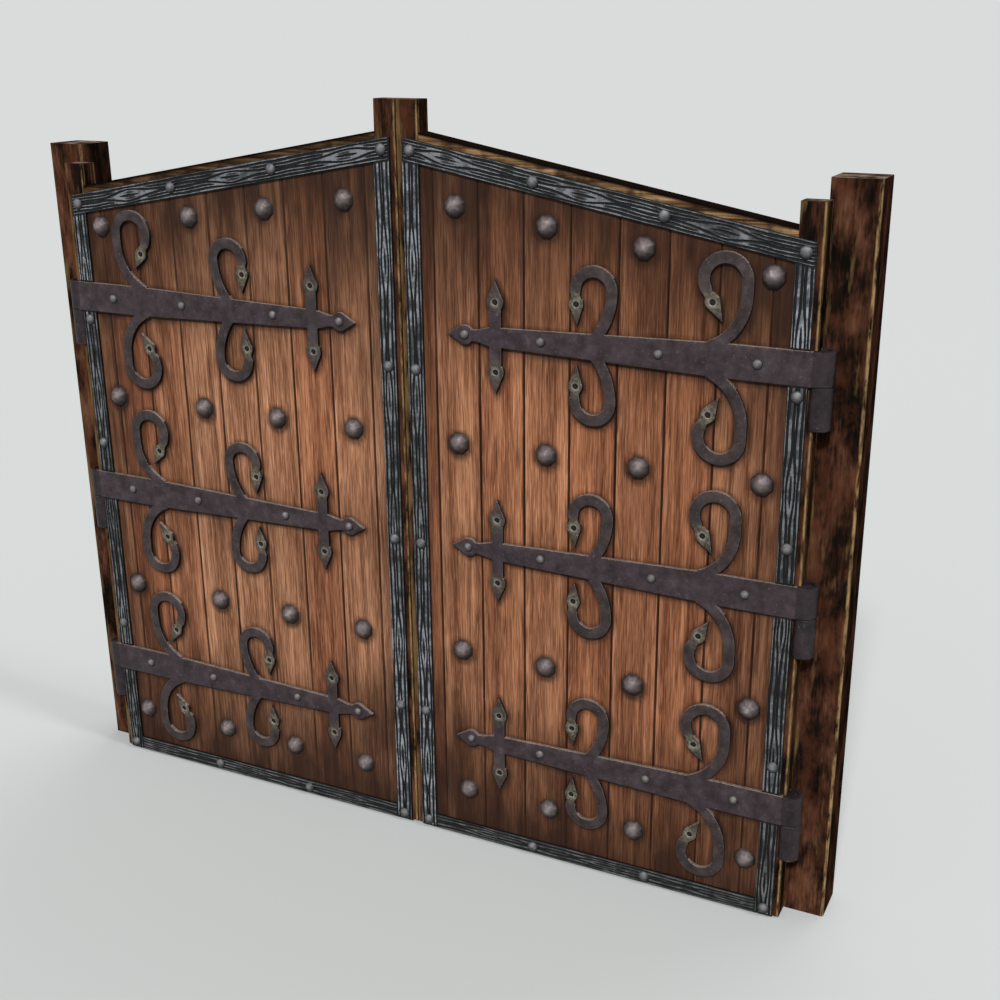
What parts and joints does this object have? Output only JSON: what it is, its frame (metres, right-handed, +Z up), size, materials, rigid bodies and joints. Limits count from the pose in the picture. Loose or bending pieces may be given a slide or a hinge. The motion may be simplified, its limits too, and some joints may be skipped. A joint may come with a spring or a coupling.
{
  "type": "double timber gate",
  "caption": "Double timber gate with gabled head, boarded leaves, carved dark trim, iron strap hinges with scrolls, and domed studs, hung on pintles on square posts so both leaves swing out.",
  "frame": {"origin": "on the ground under the middle of the gate, at the centre of the overall box", "axes": "+X to the right across the gate seen from its front, +Y towards the back, +Z up"},
  "size_m": [2.854, 0.235, 2.459],
  "materials": {
    "post_timber": "charred, worn edges",
    "frame_timber": "charred, worn edges",
    "rail_timber": "sawn, stained",
    "board_timber": "oiled, weathered",
    "trim_timber": "carved grain, blackened",
    "wrought_iron": "forged, waxed",
    "nail_iron": "hammered, worn"
  },
  "bodies": {
    "frame": {"left_post": "post_timber", "left_lower_pintle": "wrought_iron", "left_middle_pintle": "wrought_iron", "left_upper_pintle": "wrought_iron", "right_post": "post_timber", "right_lower_pintle": "wrought_iron", "right_middle_pintle": "wrought_iron", "right_upper_pintle": "wrought_iron"},
    "left_leaf": {"left_hinge_stile": "frame_timber", "left_meeting_stile": "frame_timber", "left_top_rail": "rail_timber", "left_lower_ledge": "frame_timber", "left_middle_ledge": "frame_timber", "left_upper_ledge": "frame_timber", "left_board_1": "board_timber", "left_board_2": "board_timber", "left_board_3": "board_timber", "left_board_4": "board_timber", "left_board_5": "board_timber", "left_board_6": "board_timber", "left_board_7": "board_timber", "left_board_8": "board_timber", "left_board_9": "board_timber", "left_top_trim": "trim_timber", "left_hinge_trim": "trim_timber", "left_meeting_trim": "trim_timber", "left_bottom_trim": "trim_timber", "left_lower_strap": "wrought_iron", "left_middle_strap": "wrought_iron", "left_upper_strap": "wrought_iron", "left_studs": "nail_iron", "left_trim_nails": "nail_iron", "left_strap_nails": "nail_iron"},
    "right_leaf": {"right_hinge_stile": "frame_timber", "right_meeting_stile": "frame_timber", "right_top_rail": "rail_timber", "right_lower_ledge": "frame_timber", "right_middle_ledge": "frame_timber", "right_upper_ledge": "frame_timber", "right_board_1": "board_timber", "right_board_2": "board_timber", "right_board_3": "board_timber", "right_board_4": "board_timber", "right_board_5": "board_timber", "right_board_6": "board_timber", "right_board_7": "board_timber", "right_board_8": "board_timber", "right_board_9": "board_timber", "right_top_trim": "trim_timber", "right_hinge_trim": "trim_timber", "right_meeting_trim": "trim_timber", "right_bottom_trim": "trim_timber", "right_lower_strap": "wrought_iron", "right_middle_strap": "wrought_iron", "right_upper_strap": "wrought_iron", "right_studs": "nail_iron", "right_trim_nails": "nail_iron", "right_strap_nails": "nail_iron"}
  },
  "joints": [
    {"name": "left_leaf_swing", "type": "hinge", "parent": "frame", "child": "left_leaf", "pos_m": [-1.313, -0.0711, 0], "axis": [0, 0, -1], "range_deg": [0, 110]},
    {"name": "right_leaf_swing", "type": "hinge", "parent": "frame", "child": "right_leaf", "pos_m": [1.313, -0.0711, 0], "axis": [0, 0, 1], "range_deg": [0, 110]}
  ]
}
